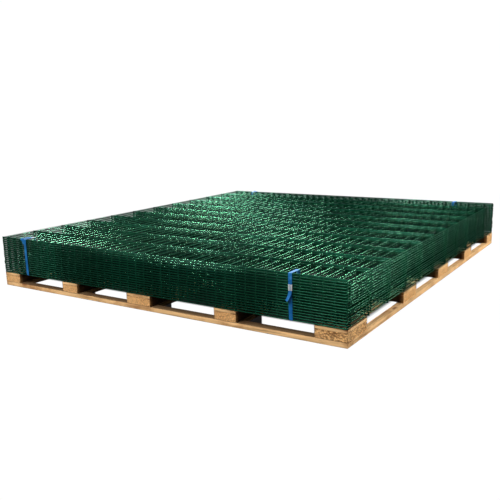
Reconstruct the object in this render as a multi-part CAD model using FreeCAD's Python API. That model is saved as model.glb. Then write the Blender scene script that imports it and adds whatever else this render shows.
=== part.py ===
# A strapped pallet load of welded wire mesh panels for livestock fencing and gates, in millimetres.
#
# The panels lie flat, one on another, on a low timber pallet, and four plastic straps tie them at
# the two ends. X runs across the panels, along their cross bars. Y runs along their rods.
# Z is up. The origin is on the ground, under the middle of the load.
import FreeCAD, Part
import math
import os

Vector = FreeCAD.Vector

# Mesh panel: one layer of rods, with a cross bar above and a cross bar below at each crossing row.
ROD_DIAMETER = 5.0
BAR_DIAMETER = 6.0
ROD_COUNT = 41
ROD_PITCH = 50.0
BAR_ROW_COUNT = 12
BAR_PITCH = 200.0
BAR_END_OVERHANG = 4.0
ROD_SHORT_OVERHANG = 3.0
ROD_LONG_OVERHANG = 27.0

# Stack of panels. Every second panel is turned end for end, so that its bars lie beside the last
# panel's bars and the two panels nest.
PANEL_COUNT = 17

# Pallet: battens on the ground, blocks on them, and thin boards on the blocks.
BATTEN_THICKNESS = 22.0
BLOCK_HEIGHT = 36.0
TOP_BOARD_THICKNESS = 14.0
END_BATTEN_WIDTH = 45.0
SIDE_BATTEN_WIDTH = 30.0
INNER_BATTEN_WIDTH = 45.0
COLUMN_WIDTHS = (115.0, 105.0, 143.0, 112.0, 140.0)
COLUMN_GAPS = (334.0, 334.0, 361.0, 364.0)
ROW_WIDTHS = (178.0, 165.0, 163.0, 140.0, 132.0)
ROW_GAPS = (412.0, 338.0, 320.0, 382.0)

# Nails
NAIL_DIAMETER = 3.0
NAIL_HEAD_DIAMETER = 7.0
NAIL_HEAD_THICKNESS = 1.5
NAIL_TIP_GAP = 4.0
NAIL_SPREAD = 0.26
NAILED_OVERLAP_MIN = 20.0

# Straps: each one is a closed loop round the end of the stack, through the mesh.
STRAP_WIDTH = 16.0
STRAP_THICKNESS = 0.8
STRAP_INSET_LEFT = 187.0
STRAP_INSET_RIGHT = 252.0
STRAP_END_CLEARANCE = 1.0
STRAP_ROD_CLEARANCE = 1.5
STRAP_INNER_RADIUS = 4.0
STRAP_TAIL_LENGTH = 90.0
STRAP_TAIL_ABOVE_SEAL = 4.0

# Seals: flat metal sleeves crimped round both layers of a strap.
SEAL_LENGTH = 25.0
SEAL_THICKNESS = 0.5
SEAL_CLEARANCE = 0.05
SEAL_DROP = 58.0
TOP_SEAL_BAR_CLEARANCE = 4.0

# Sizes that follow from those above
PANEL_WIDTH = (ROD_COUNT - 1) * ROD_PITCH + 2 * BAR_END_OVERHANG
PANEL_LENGTH = (BAR_ROW_COUNT - 1) * BAR_PITCH + ROD_SHORT_OVERHANG + ROD_LONG_OVERHANG
NAIL_DEPTH_IN_BLOCK = (BLOCK_HEIGHT - NAIL_TIP_GAP) / 2
BAR_OFFSET = (ROD_DIAMETER + BAR_DIAMETER) / 2
STACK_PITCH = ROD_DIAMETER + BAR_DIAMETER
PALLET_HEIGHT = BATTEN_THICKNESS + BLOCK_HEIGHT + TOP_BOARD_THICKNESS
STACK_HEIGHT = (PANEL_COUNT - 1) * STACK_PITCH + ROD_DIAMETER + 2 * BAR_DIAMETER
LOAD_TOP = PALLET_HEIGHT + STACK_HEIGHT
LEFT = -PANEL_WIDTH / 2
RIGHT = PANEL_WIDTH / 2
FRONT = -PANEL_LENGTH / 2
BACK = PANEL_LENGTH / 2
STACK_END = min(FRONT, FRONT + ROD_SHORT_OVERHANG - BAR_DIAMETER / 2)
TOP_SEAL_INSET = ROD_LONG_OVERHANG + BAR_DIAMETER / 2 + TOP_SEAL_BAR_CLEARANCE + SEAL_LENGTH / 2
STRAP_REACH = TOP_SEAL_INSET + SEAL_LENGTH / 2 + STRAP_INNER_RADIUS + 2 * STRAP_END_CLEARANCE


def save(name, solids):
    """Write one piece, or one group of like pieces, as parts/NAME.step."""
    shape = solids[0] if len(solids) == 1 else Part.makeCompound(solids)
    shape.exportStep("parts/" + name + ".step")


def box(low_x, high_x, low_y, high_y, low_z, high_z):
    corner = Vector(low_x, low_y, low_z)
    return Part.makeBox(high_x - low_x, high_y - low_y, high_z - low_z, corner)


# ---------------------------------------------------------------- mesh panels

def rod_places():
    """The X of each rod."""
    first = -(ROD_COUNT - 1) * ROD_PITCH / 2
    return [first + i * ROD_PITCH for i in range(ROD_COUNT)]


def bar_places(turned):
    """The Y of each row of cross bars. A turned panel is the same panel, end for end."""
    places = [FRONT + ROD_SHORT_OVERHANG + i * BAR_PITCH for i in range(BAR_ROW_COUNT)]
    return [-y for y in places] if turned else places


def panel(number):
    """Panel number 0 is the lowest. Its lower bars lie on the pallet."""
    middle = PALLET_HEIGHT + BAR_DIAMETER + ROD_DIAMETER / 2 + number * STACK_PITCH
    wires = []
    for x in rod_places():
        start = Vector(x, FRONT, middle)
        wires.append(Part.makeCylinder(ROD_DIAMETER / 2, PANEL_LENGTH, start, Vector(0, 1, 0)))
    for y in bar_places(turned=number % 2 == 1):
        for side in (-1, 1):
            start = Vector(LEFT, y, middle + side * BAR_OFFSET)
            wires.append(Part.makeCylinder(BAR_DIAMETER / 2, PANEL_WIDTH, start, Vector(1, 0, 0)))
    return wires


# --------------------------------------------------------------------- pallet

def spans(start, widths, gaps, total):
    """Low and high edge of each block along one side. The gaps take up what the blocks leave."""
    scale = (total - sum(widths)) / sum(gaps)
    edges = []
    low = start
    for i, width in enumerate(widths):
        edges.append((low, low + width))
        if i < len(gaps):
            low += width + gaps[i] * scale
    return edges


def footprint_overlap(a, b):
    """The rectangle that two solids share when seen from above, or None."""
    a = a.BoundBox
    b = b.BoundBox
    low_x = max(a.XMin, b.XMin)
    high_x = min(a.XMax, b.XMax)
    low_y = max(a.YMin, b.YMin)
    high_y = min(a.YMax, b.YMax)
    if min(high_x - low_x, high_y - low_y) < NAILED_OVERLAP_MIN:
        return None
    return low_x, high_x, low_y, high_y


def nail(x, y, head_z, direction):
    """One nail with its head's outer face at head_z. direction is +1 driven up, -1 driven down."""
    thickness = BATTEN_THICKNESS if direction > 0 else TOP_BOARD_THICKNESS
    length = thickness + NAIL_DEPTH_IN_BLOCK
    axis = Vector(0, 0, direction)
    head = Part.makeCylinder(NAIL_HEAD_DIAMETER / 2, NAIL_HEAD_THICKNESS, Vector(x, y, head_z), axis)
    shank = Part.makeCylinder(NAIL_DIAMETER / 2, length, Vector(x, y, head_z), axis)
    return head.fuse(shank).removeSplitter()


def nails(boards, blocks, head_z, direction):
    """Two nails wherever a board crosses a block, on a slant. Top and bottom nails slant apart."""
    made = []
    for board in boards:
        for block in blocks:
            overlap = footprint_overlap(board, block)
            if overlap is None:
                continue
            low_x, high_x, low_y, high_y = overlap
            mid_x = (low_x + high_x) / 2
            mid_y = (low_y + high_y) / 2
            for side in (-1, 1):
                x = mid_x + side * direction * NAIL_SPREAD * (high_x - low_x)
                y = mid_y + side * NAIL_SPREAD * (high_y - low_y)
                made.append(nail(x, y, head_z, direction))
    return made


def pallet():
    """All pallet pieces, as a dictionary of node name to list of solids."""
    columns = spans(LEFT, COLUMN_WIDTHS, COLUMN_GAPS, PANEL_WIDTH)
    rows = spans(FRONT, ROW_WIDTHS, ROW_GAPS, PANEL_LENGTH)
    block_low = BATTEN_THICKNESS
    block_high = BATTEN_THICKNESS + BLOCK_HEIGHT
    pieces = {}

    inner_front = FRONT + END_BATTEN_WIDTH
    inner_back = BACK - END_BATTEN_WIDTH
    left_block_edge = columns[0][1]
    right_block_edge = columns[-1][0]
    battens = {
        "front_bottom_batten": (LEFT, RIGHT, FRONT, inner_front),
        "back_bottom_batten": (LEFT, RIGHT, inner_back, BACK),
        "left_outer_bottom_batten": (LEFT, LEFT + SIDE_BATTEN_WIDTH, inner_front, inner_back),
        "left_inner_bottom_batten":
            (left_block_edge - INNER_BATTEN_WIDTH, left_block_edge, inner_front, inner_back),
        "right_inner_bottom_batten":
            (right_block_edge, right_block_edge + INNER_BATTEN_WIDTH, inner_front, inner_back),
        "right_outer_bottom_batten": (RIGHT - SIDE_BATTEN_WIDTH, RIGHT, inner_front, inner_back),
    }
    for number, (low, high) in enumerate(columns[1:-1], start=1):
        battens["middle_bottom_board_%d" % number] = (low, high, inner_front, inner_back)
    for name, edges in battens.items():
        pieces[name] = [box(*edges, 0, BATTEN_THICKNESS)]
    bottom = [pieces[name][0] for name in battens]

    blocks = []
    inner_blocks = []
    column_names = ("left", "mid_left", "middle", "mid_right", "right")
    row_names = ("front", "second", "third", "fourth", "back")
    for j, (low_y, high_y) in enumerate(rows):
        for i, (low_x, high_x) in enumerate(columns):
            block = box(low_x, high_x, low_y, high_y, block_low, block_high)
            blocks.append(block)
            if 0 < i < len(columns) - 1 and 0 < j < len(rows) - 1:
                inner_blocks.append(block)
            else:
                pieces["block_%s_%s" % (row_names[j], column_names[i])] = [block]
    pieces["inner_blocks"] = inner_blocks

    # The two end rows have a short cap on each block. The rows between have one board each.
    for name, (low_y, high_y) in (("front_block_caps", rows[0]), ("back_block_caps", rows[-1])):
        pieces[name] = [box(low_x, high_x, low_y, high_y, block_high, PALLET_HEIGHT)
                        for low_x, high_x in columns]
    for number, (low_y, high_y) in enumerate(rows[1:-1], start=1):
        pieces["top_board_%d" % number] = [box(LEFT, RIGHT, low_y, high_y, block_high, PALLET_HEIGHT)]
    top = pieces["front_block_caps"] + pieces["back_block_caps"]
    top += [pieces["top_board_%d" % number][0] for number in range(1, len(rows) - 1)]

    pieces["bottom_nails"] = nails(bottom, blocks, 0, 1)
    pieces["top_nails"] = nails(top, blocks, PALLET_HEIGHT, -1)
    return pieces


# --------------------------------------------------------------------- straps

def clear_of_rods(x):
    """The nearest place to x where a strap passes between the rods."""
    nearest = min(rod_places(), key=lambda rod: abs(rod - x))
    needed = (ROD_DIAMETER + STRAP_WIDTH) / 2 + STRAP_ROD_CLEARANCE
    if abs(x - nearest) >= needed:
        return x
    return nearest + math.copysign(needed, x - nearest)


def rounded_rectangle(low_y, high_y, low_z, high_z, radius, x):
    """A face in the plane of one X, with round corners."""
    r = radius
    bend = r * math.sqrt(0.5)
    line = Part.LineSegment
    corners = (
        (high_y - r, low_z + r, 1, -1),
        (high_y - r, high_z - r, 1, 1),
        (low_y + r, high_z - r, -1, 1),
        (low_y + r, low_z + r, -1, -1),
    )
    edges = []
    ends = []
    for y, z, side_y, side_z in corners:
        across = Vector(x, y + side_y * r, z)
        along = Vector(x, y, z + side_z * r)
        middle = Vector(x, y + side_y * bend, z + side_z * bend)
        edges.append(Part.Arc(across, middle, along).toShape())
        ends.append((across, along))
    edges.append(line(ends[0][0], ends[1][0]).toShape())
    edges.append(line(ends[1][1], ends[2][1]).toShape())
    edges.append(line(ends[2][0], ends[3][0]).toShape())
    edges.append(line(ends[3][1], ends[0][1]).toShape())
    return Part.Face(Part.Wire(Part.__sortEdges__(edges)))


def strap_loop(x):
    """The band round the front end of the stack, one thickness all round."""
    low_x = x - STRAP_WIDTH / 2
    inner = (STACK_END - STRAP_END_CLEARANCE, FRONT + STRAP_REACH, PALLET_HEIGHT, LOAD_TOP)
    t = STRAP_THICKNESS
    outer = (inner[0] - t, inner[1] + t, inner[2] - t, inner[3] + t)
    hole = rounded_rectangle(*inner, STRAP_INNER_RADIUS, low_x)
    rim = rounded_rectangle(*outer, STRAP_INNER_RADIUS + t, low_x)
    along = Vector(STRAP_WIDTH, 0, 0)
    return rim.extrude(along).cut(hole.extrude(along))


def seal(x, middle, length_axis):
    """A sleeve round the strap and its tail. middle is the middle of the two layers (y, z)."""
    inner_width = STRAP_WIDTH + 2 * SEAL_CLEARANCE
    inner_height = 2 * STRAP_THICKNESS + 2 * SEAL_CLEARANCE
    solids = []
    for grow, length in ((SEAL_THICKNESS, SEAL_LENGTH), (0, 2 * SEAL_LENGTH)):
        half_x = inner_width / 2 + grow
        half_t = inner_height / 2 + grow
        half_y, half_z = (half_t, length / 2) if length_axis == "z" else (length / 2, half_t)
        y, z = middle
        solids.append(box(x - half_x, x + half_x, y - half_y, y + half_y, z - half_z, z + half_z))
    return solids[0].cut(solids[1])


def strap_with_face_seal(x):
    """A strap whose seal is on the end of the stack, with its tail hanging below the seal."""
    seal_z = LOAD_TOP - SEAL_DROP
    outer_face = STACK_END - STRAP_END_CLEARANCE - STRAP_THICKNESS
    tail_top = seal_z + SEAL_LENGTH / 2 + STRAP_TAIL_ABOVE_SEAL
    tail = box(x - STRAP_WIDTH / 2, x + STRAP_WIDTH / 2, outer_face - STRAP_THICKNESS, outer_face,
               tail_top - STRAP_TAIL_LENGTH, tail_top)
    return strap_loop(x).fuse(tail).removeSplitter(), seal(x, (outer_face, seal_z), "z")


def strap_with_top_seal(x):
    """A strap whose seal is on top of the stack."""
    seal_y = FRONT + TOP_SEAL_INSET
    outer_face = LOAD_TOP + STRAP_THICKNESS
    half = SEAL_LENGTH / 2 + STRAP_TAIL_ABOVE_SEAL
    tail = box(x - STRAP_WIDTH / 2, x + STRAP_WIDTH / 2, seal_y - half, seal_y + half,
               outer_face, outer_face + STRAP_THICKNESS)
    return strap_loop(x).fuse(tail).removeSplitter(), seal(x, (seal_y, outer_face), "y")


def to_back(shape):
    """The same piece at the back end of the stack."""
    return shape.mirror(Vector(0, 0, 0), Vector(0, 1, 0))


def straps():
    left, left_seal = strap_with_top_seal(clear_of_rods(LEFT + STRAP_INSET_LEFT))
    right, right_seal = strap_with_face_seal(clear_of_rods(RIGHT - STRAP_INSET_RIGHT))
    return {
        "strap_front_left": [left],
        "strap_front_right": [right],
        "strap_back_left": [to_back(left)],
        "strap_back_right": [to_back(right)],
        "seal_front_left": [left_seal],
        "seal_front_right": [right_seal],
        "seal_back_left": [to_back(left_seal)],
        "seal_back_right": [to_back(right_seal)],
    }


os.makedirs("parts", exist_ok=True)
for index in range(PANEL_COUNT):
    save("panel_%02d" % (index + 1), panel(index))
for node, solids in pallet().items():
    save(node, solids)
for node, solids in straps().items():
    save(node, solids)
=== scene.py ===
# The looks of a strapped pallet load of welded mesh panels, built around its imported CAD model. Metres, Z up.
import bpy
import math
import numpy as np
from mathutils import Matrix, Vector


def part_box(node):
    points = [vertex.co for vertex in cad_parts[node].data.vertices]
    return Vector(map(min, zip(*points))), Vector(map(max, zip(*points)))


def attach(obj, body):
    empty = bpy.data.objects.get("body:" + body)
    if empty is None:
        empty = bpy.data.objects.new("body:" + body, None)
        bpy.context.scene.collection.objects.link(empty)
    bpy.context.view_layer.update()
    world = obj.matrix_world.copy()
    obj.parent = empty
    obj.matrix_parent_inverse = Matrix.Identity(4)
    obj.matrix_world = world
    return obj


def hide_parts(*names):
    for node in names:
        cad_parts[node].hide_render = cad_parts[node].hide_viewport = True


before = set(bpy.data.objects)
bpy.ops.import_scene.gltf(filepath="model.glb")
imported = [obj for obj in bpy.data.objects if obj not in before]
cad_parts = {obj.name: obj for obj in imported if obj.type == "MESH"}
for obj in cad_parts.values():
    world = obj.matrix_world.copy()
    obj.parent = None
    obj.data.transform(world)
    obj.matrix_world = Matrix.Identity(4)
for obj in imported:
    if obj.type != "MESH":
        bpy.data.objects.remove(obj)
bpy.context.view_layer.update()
BODY = "root"

# ------------------------------------------------------------------ sizes
ROD_RADIUS = 0.0025
BAR_RADIUS = 0.0030
ROD_COUNT = 41
ROD_PITCH = 0.050
BAR_ROWS = 12
BAR_PITCH = 0.200
SHORT_OVERHANG = 0.003
PANEL_COUNT = 17
WIRE_SIDES = 10
WELD_WIDTH = 0.0027
WELD_HEIGHT = 0.0011
WELD_SIDES = 6

CHIP_WEAR = 0.0013
CHIP_UNEVENNESS = 0.0005
CHIP_STATION_SPACING = 0.014
BOARD_WEAR = 0.0014
BOARD_UNEVENNESS = 0.0004
BOARD_STATION_SPACING = 0.030
WOOD_SMOOTH_ANGLE = 35

STRAP_WIDTH = 0.016
STRAP_THICKNESS = 0.0008
STRAP_CLEARANCE = 0.001
STRAP_CORNER_RADIUS = 0.0044
STRAP_RIBS = 9
STRAP_RIB_DEPTH = 0.00012
STRAP_STATION_SPACING = 0.006
STRAP_SWAY = 0.0009
TAIL_WIDTH = STRAP_WIDTH * 0.98
TAIL_UNDER_SEAL = 0.004
FACE_TAIL_LENGTH = 0.044
FACE_TAIL_LEAN = 0.011
FACE_TAIL_STAND_OFF = 0.013
TOP_TAIL_DROP = 0.022
TOP_TAIL_LEAN = 0.026
TOP_TAIL_BEND_RADIUS = 0.004
TOP_TAIL_HUMP = 0.003
SEAL_LENGTH = 0.025
SEAL_METAL = 0.0005
SEAL_SLOT = 0.0036
SEAL_PLAY = 0.00005
CRIMP_PINCH = 0.0011
CRIMP_BULGE = 0.0005
SEAL_FLARE = 0.0004
SEAL_FOLD = 0.0003

CAMERA_PLACE = (1.9585, -3.1964, 0.8607)
CAMERA_YAW = -33.525
CAMERA_PITCH = 11.827
CAMERA_ROLL = -1.564
CAMERA_LENS = 46.2

# Painted floor shade, as if one lamp stood at the camera's place. Painted light shows in the pallet's gaps.
FLOOR_LIGHT_X, FLOOR_LIGHT_Y, FLOOR_LIGHT_Z = CAMERA_PLACE
FLOOR_HALF_SIZE = 40
FLOOR_DROP = 0.0006
WHITE = 1.02
SHADE = 0.010
SHADOW_EDGE = 0.0018
SHADOW_REACH = 0.40
FAR_SHADOW = 0.82
GAP_DEPTH_FRONT = 0.190
GAP_DEPTH_SIDE = 0.0875
BLOCK_SHADOW_FRONT = 0.128
BLOCK_SHADOW_SIDE = 0.090
BEARING_SOFTNESS = 0.001

# How deep in the load the coat and the straps turn dark with painted shade, and how deep the blocks get
# painted shade, as do the battens, boards and caps that run along X.
SHADE_DEPTH = 0.019
INNER_SHADE_DEPTH = 0.012
PAINTED_SHADE_COLOR = (0.035, 0.018, 0.008)
INNER_SHADE_STRENGTH = 0.9

LOW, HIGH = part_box("panel_01")
LEFT, FRONT = LOW.x, LOW.y
RIGHT, BACK = HIGH.x, HIGH.y
LOAD_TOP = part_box("panel_%02d" % PANEL_COUNT)[1].z
DECK = LOW.z


# ------------------------------------------------------------------ camera and light

def make_camera():
    """The photograph's viewing angle: a low three-quarter view on the near corner."""
    yaw, pitch, roll = math.radians(CAMERA_YAW), math.radians(CAMERA_PITCH), math.radians(CAMERA_ROLL)
    look = Vector((math.sin(yaw) * math.cos(pitch), math.cos(yaw) * math.cos(pitch), -math.sin(pitch)))
    level = Vector((math.cos(yaw), -math.sin(yaw), 0))
    up = level.cross(look)
    right = level * math.cos(roll) + up * math.sin(roll)
    up = right.cross(look)
    data = bpy.data.cameras.new("camera")
    data.sensor_width = 36
    data.lens = CAMERA_LENS
    data.clip_end = 200
    camera = bpy.data.objects.new("camera", data)
    turn = Matrix((right, up, -look)).transposed().to_4x4()
    camera.matrix_world = Matrix.Translation(CAMERA_PLACE) @ turn
    bpy.context.scene.collection.objects.link(camera)
    bpy.context.scene.camera = camera


def area_light(name, place, target, size, power, color=(1, 1, 1)):
    data = bpy.data.lights.new(name, "AREA")
    data.shape = "RECTANGLE"
    data.size, data.size_y = size
    data.energy = power
    data.color = color
    light = bpy.data.objects.new(name, data)
    light.location = place
    light.rotation_euler = (Vector(target) - Vector(place)).to_track_quat("-Z", "Y").to_euler()
    bpy.context.scene.collection.objects.link(light)


def make_studio():
    bpy.context.scene.view_settings.view_transform = "Standard"
    make_world()
    area_light("back_soft", (-0.9, 4.4, 3.0), (0, 0.2, 0.2), (1.0, 0.9), 235, (0.82, 1.0, 0.91))
    area_light("back_right_soft", (3.0, 4.8, 2.3), (1.0, -0.4, 0.15), (0.4, 0.4), 85, (0.82, 1.0, 0.86))
    area_light("left_soft", (-3.4, 2.4, 3.3), (-0.4, -0.4, 0.2), (1.0, 0.8), 520, (0.84, 1.0, 0.92))
    area_light("left_front_soft", (-4.4, -3.2, 1.7), (-0.4, -1.1, 0.1), (0.9, 0.7), 34, (0.92, 1.0, 0.95))
    area_light("front_soft", (-0.8, -4.4, 3.4), (0.1, -1.0, 0.0), (1.6, 1.4), 245, (1.0, 0.97, 0.92))
    area_light("right_soft", (4.4, 1.6, 3.0), (1.0, -0.2, 0.0), (1.2, 1.0), 265, (1.0, 0.97, 0.92))
    make_floor()


def make_world():
    """A white background. What lights the object is dimmer, and brightest overhead."""
    world = bpy.data.worlds.new("studio")
    world.use_nodes = True
    tree = world.node_tree
    backdrop = tree.nodes["Background"]
    backdrop.inputs["Color"].default_value = (1, 1, 1, 1)
    backdrop.inputs["Strength"].default_value = WHITE
    dome = tree.nodes.new("ShaderNodeBackground")
    height = tree.nodes.new("ShaderNodeSeparateXYZ")
    ray = tree.nodes.new("ShaderNodeTexCoord")
    brightness = tree.nodes.new("ShaderNodeMapRange")
    brightness.inputs["From Min"].default_value = 0.05
    brightness.inputs["From Max"].default_value = 1.0
    brightness.inputs["To Min"].default_value = 0.02
    brightness.inputs["To Max"].default_value = 0.40
    tree.links.new(ray.outputs["Generated"], height.inputs["Vector"])
    tree.links.new(height.outputs["Z"], brightness.inputs["Value"])
    tree.links.new(brightness.outputs["Result"], dome.inputs["Strength"])
    seen = tree.nodes.new("ShaderNodeLightPath")
    choose = tree.nodes.new("ShaderNodeMixShader")
    tree.links.new(seen.outputs["Is Camera Ray"], choose.inputs["Fac"])
    tree.links.new(dome.outputs["Background"], choose.inputs[1])
    tree.links.new(backdrop.outputs["Background"], choose.inputs[2])
    tree.links.new(choose.outputs["Shader"], tree.nodes["World Output"].inputs["Surface"])
    bpy.context.scene.world = world


def make_floor():
    """A white floor with the load's shadow painted under it and behind it, in its own material."""
    mesh = bpy.data.meshes.new("floor")
    half = FLOOR_HALF_SIZE
    corners = [(-half, -half, 0), (half, -half, 0), (half, half, 0), (-half, half, 0)]
    mesh.from_pydata(corners, [], [(0, 1, 2, 3)])
    floor = bpy.data.objects.new("floor", mesh)
    floor.location.z = -FLOOR_DROP
    bpy.context.scene.collection.objects.link(floor)

    n = Nodes("floor_white")
    n.link("Base Color", (0.07, 0.07, 0.07, 1))
    n.link("Roughness", 1.0)
    n.link("Specular IOR Level", 0.0)
    place = n.add("ShaderNodeTexCoord").outputs["Object"]
    split = n.add("ShaderNodeSeparateXYZ", {"Vector": place})
    x, y = split.outputs["X"], split.outputs["Y"]
    # Painted shadow, lifted by painted light in the gaps. Only camera rays see this glow.
    light = n.math("SUBTRACT", 1.0, n.math("MULTIPLY", load_shadow(n, x, y), 1.0 - SHADE))
    strength = n.math("MULTIPLY", n.math("MAXIMUM", light, gap_light(n, x, y)), WHITE)
    glow = n.add("ShaderNodeEmission", {"Strength": strength})
    seen = n.add("ShaderNodeLightPath")
    choose = n.add("ShaderNodeMixShader", {"Fac": seen.outputs["Is Camera Ray"]})
    n.tree.links.new(n.shader.outputs["BSDF"], choose.inputs[1])
    n.tree.links.new(glow.outputs["Emission"], choose.inputs[2])
    n.tree.links.new(choose.outputs["Shader"], n.tree.nodes["Material Output"].inputs["Surface"])
    mesh.materials.append(n.material)


def load_shadow(n, x, y):
    """Painted shadow: 1 on the floor under the load, less behind it, where the load hides the floor's light.
    """
    enters, leaves = [], []
    for value, low, high, light in ((x, LEFT, RIGHT, FLOOR_LIGHT_X), (y, FRONT, BACK, FLOOR_LIGHT_Y)):
        way = n.math("SUBTRACT", light, value)
        first = n.math("DIVIDE", n.math("SUBTRACT", low, value), way)
        second = n.math("DIVIDE", n.math("SUBTRACT", high, value), way)
        enters.append(n.math("MINIMUM", first, second))
        leaves.append(n.math("MAXIMUM", first, second))
    enter = n.math("MAXIMUM", n.math("MAXIMUM", *enters), 0.0)
    leave = n.math("MINIMUM", n.math("MINIMUM", *leaves), LOAD_TOP / FLOOR_LIGHT_Z)
    hidden = n.step(n.math("SUBTRACT", leave, enter), SHADOW_EDGE, softness=SHADOW_EDGE)
    outside = n.math("MAXIMUM", n.math("MULTIPLY", inside_load(n, x, y), -1.0), 0.0)
    near = n.math("MAXIMUM", n.math("SUBTRACT", 1.0, n.math("DIVIDE", outside, SHADOW_REACH)), 0.0)
    return n.math("MULTIPLY", hidden, n.span(n.math("POWER", near, 2.0), FAR_SHADOW, 1.0))


def inside_load(n, x, y):
    """How far a place is inside the upright sides of the load, negative outside them."""
    across = n.math("MINIMUM", n.math("SUBTRACT", x, LEFT), n.math("SUBTRACT", RIGHT, x))
    along = n.math("MINIMUM", n.math("SUBTRACT", y, FRONT), n.math("SUBTRACT", BACK, y))
    return n.math("MINIMUM", across, along)


def bearing(x, y):
    """How far a place lies to the side of the floor's light, for each metre in front of it."""
    return (x - FLOOR_LIGHT_X) / (y - FLOOR_LIGHT_Y)


def gap_light(n, x, y):
    """Painted light: 1 on the floor reached through the front and right gaps, past the outer blocks."""
    front = n.math("MULTIPLY", n.step(y, FRONT), n.step(y, FRONT + GAP_DEPTH_FRONT, falling=True))
    right = n.math("MULTIPLY", n.step(x, RIGHT, falling=True), n.step(x, RIGHT - GAP_DEPTH_SIDE))
    lit = n.math("MAXIMUM", front, right)
    lit = n.math("MULTIPLY", lit, n.math("MULTIPLY", n.step(x, LEFT), n.step(y, BACK, falling=True)))
    ahead = n.math("SUBTRACT", y, FLOOR_LIGHT_Y)
    side = n.math("DIVIDE", n.math("SUBTRACT", x, FLOOR_LIGHT_X), ahead)
    for node in sorted(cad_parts):
        low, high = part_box(node) if node.startswith("block_") else (None, None)
        if node == "block_front_right":
            start = bearing(low.x, FRONT)
            end = bearing(RIGHT, high.y)
        elif node.startswith("block_front_"):
            start = bearing(low.x, FRONT)
            end = bearing(high.x + BLOCK_SHADOW_FRONT, FRONT)
        elif node.startswith("block_") and node.endswith("_right") and not node.endswith("mid_right"):
            start = bearing(RIGHT, low.y - BLOCK_SHADOW_SIDE)
            end = bearing(RIGHT, high.y)
        else:
            continue
        outside = n.math("MAXIMUM", n.step(side, start, falling=True, softness=BEARING_SOFTNESS),
                         n.step(side, end, softness=BEARING_SOFTNESS))
        lit = n.math("MULTIPLY", lit, outside)
    return lit


# ------------------------------------------------------------------ materials

class Nodes:
    """Short calls for building one material's node tree."""

    def __init__(self, name):
        self.material = bpy.data.materials.new(name)
        self.material.use_nodes = True
        self.tree = self.material.node_tree
        self.shader = self.tree.nodes["Principled BSDF"]

    def add(self, kind, inputs=None, **settings):
        node = self.tree.nodes.new(kind)
        for key, value in settings.items():
            setattr(node, key, value)
        for key, value in (inputs or {}).items():
            if isinstance(value, bpy.types.NodeSocket):
                self.tree.links.new(value, node.inputs[key])
            else:
                node.inputs[key].default_value = value
        return node

    def place(self, scale=(1, 1, 1)):
        """Object coordinates, stretched by scale."""
        coordinates = self.add("ShaderNodeTexCoord")
        mapping = self.add("ShaderNodeMapping", {"Vector": coordinates.outputs["Object"], "Scale": scale})
        return mapping.outputs["Vector"]

    def noise(self, vector, scale, detail=4.0, roughness=0.55):
        inputs = {"Vector": vector, "Scale": scale, "Detail": detail, "Roughness": roughness}
        return self.add("ShaderNodeTexNoise", inputs).outputs["Fac"]

    def ramp(self, factor, *stops):
        """A colour ramp. Each stop is (place, colour)."""
        node = self.add("ShaderNodeValToRGB", {"Fac": factor})
        elements = node.color_ramp.elements
        while len(elements) < len(stops):
            elements.new(0.5)
        for element, (place, color) in zip(elements, stops):
            element.position = place
            element.color = (*color, 1)
        return node.outputs["Color"]

    def grey_ramp(self, factor, *stops):
        return self.ramp(factor, *[(place, (level, level, level)) for place, level in stops])

    def mix(self, factor, a, b, blend="MIX"):
        node = self.add("ShaderNodeMix", data_type="RGBA", blend_type=blend)
        for key, value in ((0, factor), (6, a), (7, b)):
            if isinstance(value, bpy.types.NodeSocket):
                self.tree.links.new(value, node.inputs[key])
            else:
                node.inputs[key].default_value = value if key == 0 else (*value, 1)
        return node.outputs[2]

    def math(self, operation, a, b=0.0):
        node = self.add("ShaderNodeMath", operation=operation)
        for key, value in ((0, a), (1, b)):
            if isinstance(value, bpy.types.NodeSocket):
                self.tree.links.new(value, node.inputs[key])
            else:
                node.inputs[key].default_value = value
        return node.outputs[0]

    def step(self, value, edge, falling=False, softness=0.012):
        """0 below the edge and 1 above it, or the other way round."""
        ends = (1.0, 0.0) if falling else (0.0, 1.0)
        inputs = {"Value": value, "From Min": edge - softness, "From Max": edge + softness,
                  "To Min": ends[0], "To Max": ends[1]}
        return self.add("ShaderNodeMapRange", inputs).outputs["Result"]

    def span(self, value, low, high):
        """Value 0 to 1 becomes low to high."""
        inputs = {"Value": value, "To Min": low, "To Max": high}
        return self.add("ShaderNodeMapRange", inputs).outputs["Result"]

    def bump(self, height, strength, distance):
        inputs = {"Height": height, "Strength": strength, "Distance": distance}
        return self.add("ShaderNodeBump", inputs).outputs["Normal"]

    def link(self, socket, value):
        if isinstance(value, bpy.types.NodeSocket):
            self.tree.links.new(value, self.shader.inputs[socket])
        else:
            self.shader.inputs[socket].default_value = value


def depth_in_stack(n):
    """How far a place is below the load's top or inside its upright sides, whichever is less."""
    split = n.add("ShaderNodeSeparateXYZ", {"Vector": n.add("ShaderNodeNewGeometry").outputs["Position"]})
    below = n.math("SUBTRACT", LOAD_TOP, split.outputs["Z"])
    return n.math("MINIMUM", below, inside_load(n, split.outputs["X"], split.outputs["Y"]))


def lit_outside(n):
    """Mask for painted shade: 1 near the outside of the load, and 0 deeper than SHADE_DEPTH."""
    return n.step(depth_in_stack(n), SHADE_DEPTH, falling=True, softness=SHADE_DEPTH * 0.55)


def painted_inner_shade(n):
    """Painted shade mask: 0 near the outside of the load, full strength deeper than the inner shade depth."""
    inside = n.step(depth_in_stack(n), INNER_SHADE_DEPTH, softness=INNER_SHADE_DEPTH * 0.7)
    return n.math("MULTIPLY", inside, INNER_SHADE_STRENGTH)


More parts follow.
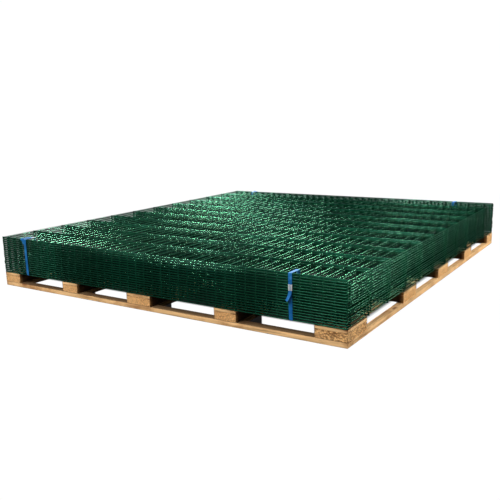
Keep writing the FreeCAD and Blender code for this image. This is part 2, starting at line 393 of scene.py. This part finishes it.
def coat_material():
    """Dark green powder coat on wire: slight orange peel, thin dust, painted shade deep in the stack."""
    n = Nodes("green_powder_coat")
    place = n.place()
    wide = n.noise(place, 5.0, 3.0)
    fine = n.noise(place, 900.0, 2.0)
    lit = lit_outside(n)
    dark, middle, light = (0.002, 0.027, 0.014), (0.003, 0.044, 0.024), (0.005, 0.070, 0.038)
    green = n.ramp(wide, (0.30, dark), (0.55, middle), (0.78, light))
    dust = n.grey_ramp(n.noise(place, 60.0, 5.0, 0.7), (0.52, 0.0), (0.85, 0.25))
    coat = n.mix(dust, green, (0.04, 0.17, 0.10))
    # Painted shade: deep in the stack the colour, highlight level and highlight tint go dark.
    n.link("Base Color", n.mix(lit, (0.0008, 0.015, 0.008), coat))
    n.link("Metallic", 0.5)
    n.link("Roughness", n.span(wide, 0.17, 0.28))
    n.link("Specular IOR Level", n.span(lit, 0.03, 0.12))
    n.link("Specular Tint", n.mix(lit, (0.08, 0.22, 0.15), (0.58, 1.0, 0.78)))
    n.link("Normal", n.bump(fine, 0.12, 0.0004))
    return n.material


def chip_material(name, flake_scale, contrast):
    """Pressed wood chip: flakes of several browns, thin dark gaps between them, and painted shade deep in the
    load.
    """
    n = Nodes(name)
    place = n.place((1.0, 1.0, 1.6))
    warp = n.add("ShaderNodeTexNoise", {"Vector": place, "Scale": 45.0, "Detail": 3.0}).outputs["Color"]
    bent = n.mix(0.012, place, warp, "ADD")
    flakes = n.add("ShaderNodeTexVoronoi", {"Vector": bent, "Scale": flake_scale})
    tone = n.add("ShaderNodeSeparateColor", {"Color": flakes.outputs["Color"]}).outputs[0]
    middle = (0.70, 0.38, 0.15)
    dark = tuple(c * (1 - 0.75 * contrast) for c in middle)
    light = tuple(min(1.0, c * (1 + 0.55 * contrast)) for c in middle)
    brown = n.ramp(tone, (0.0, dark), (0.30, middle), (0.62, middle), (0.9, light))
    gaps = n.grey_ramp(flakes.outputs["Distance"], (0.38, 0.0), (0.80, 0.85 * contrast))
    pressed = n.mix(gaps, brown, (0.16, 0.06, 0.02))
    weather = n.grey_ramp(n.noise(place, 9.0, 3.0), (0.35, 0.0), (0.75, 0.35))
    weathered = n.mix(weather, pressed, (0.80, 0.52, 0.26))
    # Painted shade: faces deep inside the load are mixed toward dark brown.
    n.link("Base Color", n.mix(painted_inner_shade(n), weathered, PAINTED_SHADE_COLOR))
    n.link("Roughness", n.span(tone, 0.72, 0.92))
    n.link("Specular IOR Level", 0.2)
    n.link("Normal", n.bump(flakes.outputs["Distance"], 0.5 * contrast, 0.0012))
    return n.material


def board_material(name, along, tone, top_shade, shaded_inside):
    """Rough sawn softwood: grain along one axis, reddish knots, saw marks across, stains and painted shade."""
    n = Nodes(name)
    axis = "xyz".index(along)
    stretch = [16.0, 16.0, 16.0]
    stretch[axis] = 0.8
    place = n.place(tuple(stretch))
    bend = n.add("ShaderNodeTexNoise", {"Vector": place, "Scale": 0.7, "Detail": 2.0}).outputs["Color"]
    grain = n.noise(n.mix(0.5, place, bend, "ADD"), 7.0, 6.0, 0.6)
    dark = tuple(0.55 * c for c in tone)
    light = tuple(min(1.0, 1.25 * c) for c in tone)
    wood = n.ramp(grain, (0.32, dark), (0.50, tone), (0.70, light))
    knot_stretch = [13.0, 13.0, 13.0]
    knot_stretch[axis] = 5.0
    knots = n.add("ShaderNodeTexVoronoi", {"Vector": n.place(tuple(knot_stretch)), "Scale": 1.0})
    ring = n.grey_ramp(knots.outputs["Distance"], (0.05, 1.0), (0.13, 0.75), (0.17, 0.0))
    knotted = n.mix(ring, wood, (0.20, 0.055, 0.018))
    stain = n.grey_ramp(n.noise(n.place(), 6.0, 4.0, 0.6), (0.50, 0.0), (0.70, 0.80))
    stained = n.mix(stain, knotted, (0.34, 0.14, 0.045))
    facing = n.add("ShaderNodeSeparateXYZ", {"Vector": n.add("ShaderNodeTexCoord").outputs["Normal"]})
    # Painted shade: top faces, and on boards shaded inside also the parts deep in the load, go dark brown.
    painted_shade = n.math("MULTIPLY", n.step(facing.outputs["Z"], 0.55, softness=0.25), top_shade)
    if shaded_inside:
        painted_shade = n.math("MAXIMUM", painted_shade, painted_inner_shade(n))
    n.link("Base Color", n.mix(painted_shade, stained, PAINTED_SHADE_COLOR))
    n.link("Roughness", n.span(grain, 0.70, 0.90))
    n.link("Specular IOR Level", 0.2)
    saw_stretch = [6.0, 6.0, 6.0]
    saw_stretch[axis] = 260.0
    saw = n.noise(n.place(tuple(saw_stretch)), 1.0, 1.0)
    n.link("Normal", n.bump(n.math("ADD", grain, n.math("MULTIPLY", saw, 0.5)), 0.35, 0.0009))
    return n.material


def strap_material():
    """Blue polypropylene band: satin, fine pressed diamonds, pale scuffs, and painted shade deep in the stack.
    """
    n = Nodes("blue_band")
    place = n.place()
    shade = n.noise(place, 35.0, 4.0)
    dark, middle, light = (0.004, 0.075, 0.26), (0.010, 0.14, 0.42), (0.09, 0.30, 0.62)
    blue = n.ramp(shade, (0.30, dark), (0.60, middle), (0.85, light))
    diagonal_a = n.add("ShaderNodeTexWave", {"Vector": n.place((1.0, 0.0, 1.0)), "Scale": 90.0})
    diagonal_b = n.add("ShaderNodeTexWave", {"Vector": n.place((-1.0, 0.0, 1.0)), "Scale": 90.0})
    diamonds = n.math("MAXIMUM", diagonal_a.outputs["Fac"], diagonal_b.outputs["Fac"])
    scuff = n.grey_ramp(n.noise(place, 220.0, 5.0, 0.7), (0.62, 0.0), (0.80, 0.5))
    scuffed = n.mix(scuff, blue, (0.28, 0.50, 0.72))
    # Painted shade: deep in the stack the band turns near-black blue.
    n.link("Base Color", n.mix(lit_outside(n), (0.001, 0.010, 0.030), scuffed))
    n.link("Roughness", n.span(shade, 0.48, 0.62))
    n.link("Specular IOR Level", 0.15)
    n.link("Subsurface Weight", 0.05)
    n.link("Subsurface Scale", 0.001)
    n.link("Normal", n.bump(diamonds, 0.35, 0.0003))
    return n.material


def steel_material(name, color, metallic, roughness, rust):
    """Bare or galvanised steel: cloudy spangle, small scratches and, where there is any, rust."""
    n = Nodes(name)
    place = n.place()
    spangle = n.add("ShaderNodeTexVoronoi", {"Vector": place, "Scale": 260.0})
    cloud = n.noise(place, 90.0, 5.0, 0.65)
    dull = tuple(0.55 * c for c in color)
    metal = n.ramp(cloud, (0.30, dull), (0.65, color))
    spots = n.grey_ramp(cloud, (0.48, 0.0), (0.62, rust))
    n.link("Base Color", n.mix(spots, metal, (0.17, 0.065, 0.025)))
    n.link("Metallic", metallic)
    n.link("Roughness", n.span(spangle.outputs["Distance"], roughness - 0.08, roughness + 0.15))
    n.link("Normal", n.bump(n.noise(place, 1400.0, 2.0), 0.15, 0.0003))
    return n.material


# ------------------------------------------------------------------ mesh building

class Shape:
    """Collects vertices and faces for one mesh."""

    def __init__(self):
        self.points = []
        self.faces = []
        self.count = 0

    def add(self, points, faces):
        self.points.append(np.asarray(points, float))
        self.faces += [tuple(i + self.count for i in face) for face in faces]
        self.count += len(points)

    def mesh(self, name, smooth_angle=None):
        mesh = bpy.data.meshes.new(name)
        mesh.from_pydata(np.concatenate(self.points).tolist(), [], self.faces)
        mesh.validate()
        mesh.shade_smooth()
        if smooth_angle is not None:
            mesh.set_sharp_from_angle(angle=math.radians(smooth_angle))
        return mesh


def tube_faces(rings, sides, closed=False):
    """Faces between rings of points. A tube that isn't closed on itself has flat ends."""
    faces = []
    for r in range(rings if closed else rings - 1):
        q = (r + 1) % rings
        for s in range(sides):
            t = (s + 1) % sides
            faces.append((r * sides + s, r * sides + t, q * sides + t, q * sides + s))
    if not closed:
        faces.append(tuple(reversed(range(sides))))
        faces.append(tuple((rings - 1) * sides + s for s in range(sides)))
    return faces


def add_piece(name, mesh, materials, slot, *nodes):
    piece = bpy.data.objects.new(name, mesh)
    bpy.context.scene.collection.objects.link(piece)
    for material in materials:
        mesh.materials.append(material)
    finish_piece(piece, slot, *nodes)


def finish_piece(piece, slot, *nodes):
    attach(piece, BODY)
    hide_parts(*nodes)


class Waver:
    """A smooth random curve of one variable, from -1 to 1."""

    def __init__(self, random, waves=(0.7, 1.9, 4.3, 9.1)):
        self.waves = [(w * random.uniform(0.8, 1.2), random.uniform(0, 2 * math.pi)) for w in waves]

    def __call__(self, t):
        return sum(math.sin(2 * math.pi * w * t + phase) for w, phase in self.waves) / len(self.waves)


# ------------------------------------------------------------------ mesh panels

def wire(shape, start, end, radius, sides, bow):
    """A wire with chamfered ends, bowed sideways by bow at its middle."""
    start, end = np.array(start, float), np.array(end, float)
    length = np.linalg.norm(end - start)
    axis = (end - start) / length
    up = np.array((0, 0, 1.0))
    side = np.cross(axis, up)
    chamfer = radius * 0.35
    straight = 4 * chamfer
    tip = radius * 0.62
    stations = [(0, tip), (chamfer, radius), (straight, radius)]
    stations += [(length * t, radius) for t in (0.25, 0.5, 0.75)]
    stations += [(length - straight, radius), (length - chamfer, radius), (length, tip)]
    angles = np.arange(sides) * 2 * math.pi / sides
    points = []
    for distance, r in stations:
        t = distance / length
        centre = start + axis * distance + side * bow * 4 * t * (1 - t)
        points.append(centre + r * (np.cos(angles)[:, None] * side + np.sin(angles)[:, None] * up))
    shape.add(np.concatenate(points), tube_faces(len(stations), sides))


def weld(shape, centre):
    """A small flattened bead of weld under the coating, where a bar crosses a rod."""
    rings = ((-0.75, 0.65), (0.0, 1.0), (0.75, 0.65))
    angles = np.arange(WELD_SIDES) * 2 * math.pi / WELD_SIDES
    points = []
    for z, r in rings:
        height = np.full(WELD_SIDES, z * WELD_HEIGHT)
        ring = np.stack([np.cos(angles) * r * WELD_WIDTH, np.sin(angles) * r * WELD_WIDTH, height], 1)
        points.append(ring + centre)
    shape.add(np.concatenate(points), tube_faces(len(rings), WELD_SIDES))


def panel_mesh(name, turned, random):
    """One panel, with the middle of its rods at Z 0."""
    shape = Shape()
    offset = ROD_RADIUS + BAR_RADIUS
    rods = [-(ROD_COUNT - 1) * ROD_PITCH / 2 + i * ROD_PITCH for i in range(ROD_COUNT)]
    bars = [FRONT + SHORT_OVERHANG + i * BAR_PITCH for i in range(BAR_ROWS)]
    if turned:
        bars = [-y for y in bars]
    for x in rods:
        end = random.uniform(-0.0006, 0.0006, 2)
        bow = random.uniform(-0.0012, 0.0012)
        wire(shape, (x, FRONT + end[0], 0), (x, BACK + end[1], 0), ROD_RADIUS, WIRE_SIDES, bow)
    for y in bars:
        for side in (-1, 1):
            end = random.uniform(-0.0008, 0.0008, 2)
            bow = random.uniform(-0.0008, 0.0008)
            z = side * offset
            wire(shape, (LEFT + end[0], y, z), (RIGHT + end[1], y, z), BAR_RADIUS, WIRE_SIDES, bow)
            for x in rods:
                weld(shape, np.array((x, y, side * ROD_RADIUS)))
    return shape.mesh(name)


def make_panels(coat):
    """Four panel meshes, shared by all the panels, each of which lies a little out of line."""
    random = np.random.default_rng(7)
    variants = {}
    for turned in (False, True):
        for variant in range(2):
            mesh = panel_mesh("panel_%s_%d" % ("turned" if turned else "straight", variant), turned, random)
            mesh.materials.append(coat)
            variants[turned, variant] = mesh
    for number in range(PANEL_COUNT):
        node = "panel_%02d" % (number + 1)
        low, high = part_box(node)
        piece = bpy.data.objects.new("mesh_" + node, variants[number % 2 == 1, number // 2 % 2])
        shift_x = random.uniform(-0.0035, 0.0012)
        shift_y = random.uniform(-0.0008, 0.0008)
        piece.location = (shift_x, shift_y, (low.z + high.z) / 2)
        bpy.context.scene.collection.objects.link(piece)
        finish_piece(piece, "green_wire", node)


# ------------------------------------------------------------------ wood

def timber(shape, low, high, random, spacing, edge, unevenness):
    """A piece of wood with worn edges and uneven faces. It runs along X or Y, whichever is longer."""
    low, high = np.array(low), np.array(high)
    size = high - low
    along = 0 if size[0] > size[1] else 1
    across = 1 - along
    half_u, half_v = size[across] / 2, size[2] / 2
    middle = (low + high) / 2
    length = size[along]
    count = max(4, int(round(length / spacing)))
    corner_wear = [Waver(random, (1.3, 3.7, 8.9, 17.0)) for _ in range(4)]
    face_wave = [Waver(random, (0.8, 2.3, 5.1)) for _ in range(4)]
    bevel = edge * 0.6
    stations = [0.0, bevel] + [length * (i + 0.5) / count for i in range(count)] + [length - bevel, length]
    rings = []
    for distance in stations:
        t = distance / length
        shrink = edge * 0.7 if distance in (0.0, length) else 0.0
        ring = []
        for c, (su, sv) in enumerate(((1, -1), (1, 1), (-1, 1), (-1, -1))):
            wear = edge * (1 + 0.55 * corner_wear[c](t) + random.uniform(-0.15, 0.15))
            wear += edge * 2.2 * max(0.0, corner_wear[c](t * 2.1) - 0.55)
            wear = min(wear, half_v * 0.5)
            u, v = su * (half_u - shrink), sv * (half_v - shrink)
            steps = ((0, 1.0), (0.3, 0.3), (1.0, 0)) if su == sv else ((1.0, 0), (0.3, 0.3), (0, 1.0))
            ring += [(u - su * wear * a, v - sv * wear * b) for a, b in reversed(steps)]
            ring += face_points(c, half_u - shrink, half_v - shrink, face_wave[c](t), unevenness, random)
        rings.append(ring)
    points = np.zeros((len(rings), len(rings[0]), 3))
    for i, ring in enumerate(rings):
        points[i, :, along] = low[along] + stations[i]
        points[i, :, across] = middle[across] + np.array([p[0] for p in ring])
        points[i, :, 2] = middle[2] + np.array([p[1] for p in ring])
    sides = len(rings[0])
    faces = tube_faces(len(rings), sides)
    if along == 0:
        faces = [tuple(reversed(face)) for face in faces]
    shape.add(points.reshape(-1, 3), faces)


def face_points(corner, half_u, half_v, wave, unevenness, random):
    """Points along the face that follows one corner of a section, set in a little, unevenly."""
    sides = (((1, -0.35), (1, 0.35)), ((0.5, 1), (0.0, 1), (-0.5, 1)), ((-1, 0.35), (-1, -0.35)),
             ((-0.5, -1), (0.0, -1), (0.5, -1)))
    points = []
    for u, v in sides[corner]:
        inset = unevenness * (0.5 + 0.5 * wave) + random.uniform(0, unevenness * 0.5)
        if abs(u) == 1:
            points.append((u * (half_u - inset), v * half_v))
        else:
            points.append((u * half_u, v * (half_v - inset)))
    return points


def make_wood():
    """Blocks, battens, boards and caps. One corner block in front and one behind have coarser chips."""
    random = np.random.default_rng(21)
    coarse = chip_material("pressed_chip_coarse", 120.0, 1.0)
    fine = chip_material("pressed_chip_fine", 170.0, 0.5)
    # The last two arguments: how much painted shade on top faces, and painted shade deep in the load.
    boards = {"x": board_material("sawn_board_x", "x", (0.80, 0.50, 0.24), 0.85, True),
              "y": board_material("sawn_board_y", "y", (0.78, 0.48, 0.23), 0.15, False)}
    for node in sorted(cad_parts):
        solids = solid_boxes(node)
        shape = Shape()
        if node.startswith("block_") or node == "inner_blocks":
            for corners in solids:
                timber(shape, *corners, random, CHIP_STATION_SPACING, CHIP_WEAR, CHIP_UNEVENNESS)
            material = coarse if node in ("block_front_right", "block_back_left") else fine
            mesh = shape.mesh("chip_" + node, WOOD_SMOOTH_ANGLE)
            add_piece("chip_" + node, mesh, [material], "block_wood", node)
        elif "batten" in node or "board" in node or "caps" in node:
            for corners in solids:
                timber(shape, *corners, random, BOARD_STATION_SPACING, BOARD_WEAR, BOARD_UNEVENNESS)
            low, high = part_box(node)
            direction = "x" if high.x - low.x > high.y - low.y or "caps" in node else "y"
            mesh = shape.mesh("sawn_" + node, WOOD_SMOOTH_ANGLE)
            add_piece("sawn_" + node, mesh, [boards[direction]], "board_wood", node)


def solid_boxes(node):
    """The corners of each separate box-shaped solid in one CAD node."""
    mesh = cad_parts[node].data
    group = list(range(len(mesh.vertices)))

    def root(i):
        while group[i] != i:
            i = group[i]
        return i

    places = {}
    for vertex in mesh.vertices:
        key = tuple(round(c, 5) for c in vertex.co)
        first = places.setdefault(key, vertex.index)
        group[root(vertex.index)] = root(first)
    for edge in mesh.edges:
        a, b = root(edge.vertices[0]), root(edge.vertices[1])
        group[a] = b
    members = {}
    for vertex in mesh.vertices:
        members.setdefault(root(vertex.index), []).append(vertex.co)
    return [(np.min(points, axis=0), np.max(points, axis=0)) for points in members.values()]


# ------------------------------------------------------------------ straps and seals

def ribbon(shape, centres, outs, width, thickness, closed):
    """A flat band along centres. outs are its outward directions. Its outer face has shallow ribs."""
    count = len(centres)
    rings = []
    for i in range(count):
        before = centres[i - 1] if closed or i else centres[0]
        after = centres[(i + 1) % count] if closed or i + 1 < count else centres[-1]
        tangent = (after - before) / np.linalg.norm(after - before)
        out = outs[i] - tangent * np.dot(outs[i], tangent)
        out /= np.linalg.norm(out)
        side = np.cross(tangent, out)
        outer = []
        inner = []
        for k in range(STRAP_RIBS):
            u = (k / (STRAP_RIBS - 1) - 0.5) * width
            edge = 0.35 if k in (0, STRAP_RIBS - 1) else 1.0
            groove = STRAP_RIB_DEPTH if k % 2 else 0.0
            outer.append(centres[i] + side * u + out * (thickness / 2 * edge - groove))
            inner.append(centres[i] + side * u - out * (thickness / 2 * edge))
        rings.append(outer + inner[::-1])
    shape.add(np.array(rings).reshape(-1, 3), tube_faces(count, 2 * STRAP_RIBS, closed))


def loop_path(x, high_y, random):
    """Centres and outward directions of the band round the front end of the stack."""
    half = STRAP_THICKNESS / 2
    low = np.array((FRONT - STRAP_CLEARANCE - half, DECK - half))
    high = np.array((high_y - half, LOAD_TOP + half))
    r = STRAP_CORNER_RADIUS
    corners = (((high[0] - r, high[1] - r), 90), ((low[0] + r, high[1] - r), 180),
               ((low[0] + r, low[1] + r), 270), ((high[0] - r, low[1] + r), 360))
    route = []
    for (y, z), last in corners:
        for step in range(7):
            angle = math.radians(last - 90 + step * 15)
            out_y, out_z = math.cos(angle), math.sin(angle)
            route.append((y + r * out_y, z + r * out_z, out_y, out_z))
    centres, outs = [], []
    sway = Waver(random, (1.0, 2.0, 5.0))
    for i, (y, z, ny, nz) in enumerate(route):
        y2, z2, my, mz = route[(i + 1) % len(route)]
        length = math.hypot(y2 - y, z2 - z)
        steps = max(1, int(length / STRAP_STATION_SPACING))
        for k in range(steps):
            t = k / steps
            place = (y + (y2 - y) * t, z + (z2 - z) * t)
            shift = STRAP_SWAY * sway((place[0] + place[1]) * 3.0)
            centres.append(np.array((x + shift, *place)))
            outs.append(np.array((0.06 * sway(place[1] * 5.0), ny + (my - ny) * t, nz + (mz - nz) * t)))
    return centres, outs


def face_tail(x, top_z):
    """The free end below a face seal: it stands off the stack and leans left, its outside turned up."""
    centres, outs = [], []
    steps = 18
    base_y = FRONT - STRAP_CLEARANCE - STRAP_THICKNESS * 1.5
    for i in range(steps):
        t = i / (steps - 1)
        lean = -FACE_TAIL_LEAN * t * t
        stand_off = FACE_TAIL_STAND_OFF * t * t
        centres.append(np.array((x + lean, base_y - stand_off, top_z - FACE_TAIL_LENGTH * t)))
        outs.append(np.array((-0.55 * t, -1.0, 0.6 * t)))
    return centres, outs


def top_tail(x, start_y):
    """The free end of a top seal: along the top, over the edge, leaning out to the left of the band."""
    centres, outs = [], []
    top = LOAD_TOP + STRAP_THICKNESS * 1.5
    edge_y = FRONT - STRAP_CLEARANCE - STRAP_THICKNESS * 1.5
    run = start_y - edge_y
    bend = TOP_TAIL_BEND_RADIUS
    for i in range(9):
        t = i / 8
        y = start_y - (run - bend) * t
        z = top + TOP_TAIL_HUMP * math.sin(math.pi * t)
        centres.append(np.array((x - TOP_TAIL_LEAN * t * t, y, z)))
        outs.append(np.array((0, 0, 1.0)))
    for i in range(1, 9):
        t = i / 8
        angle = math.radians(90 * min(1.0, t * 2.2))
        y = edge_y + bend * (1 - math.sin(angle))
        z = top - bend * (1 - math.cos(angle)) - max(0.0, t - 0.45) * TOP_TAIL_DROP * 1.8
        centres.append(np.array((x - TOP_TAIL_LEAN * (1 - 0.75 * t), y, z)))
        outs.append(np.array((0, -math.sin(angle), math.cos(angle))))
    return centres, outs


def crimped_seal(shape, middle, length_axis, out, random):
    """A folded metal sleeve, open along a slot in front, with two rows of crimps that nick its edges."""
    half_u = STRAP_WIDTH / 2 + SEAL_METAL + SEAL_PLAY
    half_v = STRAP_THICKNESS + SEAL_METAL + SEAL_PLAY
    slot = SEAL_SLOT / 2
    fold = SEAL_FOLD
    side = np.cross(length_axis, out)
    rings = []
    for t in (0, 0.04, 0.16, 0.20, 0.26, 0.30, 0.42, 0.50, 0.58, 0.70, 0.74, 0.80, 0.84, 0.96, 1.0):
        crimped = t in (0.20, 0.26, 0.74, 0.80)
        u = half_u - (CRIMP_PINCH if crimped else 0.0) + random.uniform(-0.0001, 0.0001)
        v = half_v + (CRIMP_BULGE if crimped else 0.0)
        flare = SEAL_FLARE if t in (0, 1.0) else 0.0
        outer = [(slot, v), (u * 0.55, v + flare), (u, v - fold), (u, -v + fold), (u * 0.9, -v),
                 (-u * 0.9, -v), (-u, -v + fold), (-u, v - fold), (-u * 0.55, v + flare), (-slot, v)]
        inner = [(a - math.copysign(SEAL_METAL, a) if abs(a) > slot * 1.01 else a,
                  b - math.copysign(SEAL_METAL, b)) for a, b in outer]
        centre = middle + length_axis * (t - 0.5) * SEAL_LENGTH
        rings.append([centre + side * a + out * b for a, b in outer + inner[::-1]])
    shape.add(np.array(rings).reshape(-1, 3), tube_faces(len(rings), len(rings[0])))


def mirrored(points, back):
    """The points as they are, or mirrored to the back end of the stack."""
    return [p * np.array((1, -1, 1)) for p in points] if back else points


def make_straps():
    """Four bands round the ends of the stack, the left ones sealed on top and the right ones on the face."""
    random = np.random.default_rng(33)
    band = strap_material()
    metal = steel_material("seal_zinc", (0.86, 0.88, 0.92), 0.35, 0.30, 0.0)
    up = np.array((0, 0, 1.0))
    for end in ("front", "back"):
        back = end == "back"
        outward = np.array((0, 1.0 if back else -1.0, 0))
        for side in ("left", "right"):
            strap, seal = "strap_%s_%s" % (end, side), "seal_%s_%s" % (end, side)
            low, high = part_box(strap)
            x = (low.x + high.x) / 2
            far_y = -low.y if back else high.y
            seal_low, seal_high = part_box(seal)
            seal_middle = np.array((seal_low + seal_high) / 2)
            shape = Shape()
            centres, outs = (mirrored(route, back) for route in loop_path(x, far_y, random))
            ribbon(shape, centres, outs, STRAP_WIDTH, STRAP_THICKNESS, True)
            if side == "left":
                tail = top_tail(x, TAIL_UNDER_SEAL - abs(seal_middle[1]))
            else:
                tail = face_tail(x, seal_low.z + TAIL_UNDER_SEAL)
            centres, outs = (mirrored(route, back) for route in tail)
            ribbon(shape, centres, outs, TAIL_WIDTH, STRAP_THICKNESS, False)
            band_mesh = shape.mesh(strap + "_mesh", 50)
            add_piece("band_%s_%s" % (end, side), band_mesh, [band], "blue_strap", strap)
            shape = Shape()
            if side == "left":
                crimped_seal(shape, seal_middle, outward, up, random)
            else:
                crimped_seal(shape, seal_middle, up, outward, random)
            seal_mesh = shape.mesh(seal + "_mesh", 40)
            add_piece("crimp_%s_%s" % (end, side), seal_mesh, [metal], "seal_metal", seal)


def dress_nails():
    """The nails keep their CAD shape, in rusty steel."""
    steel = steel_material("nail_steel", (0.42, 0.41, 0.40), 0.85, 0.42, 0.7)
    for node in ("bottom_nails", "top_nails"):
        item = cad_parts[node]
        item.data.materials.clear()
        item.data.materials.append(steel)


make_camera()
make_studio()
make_panels(coat_material())
make_wood()
make_straps()
dress_nails()
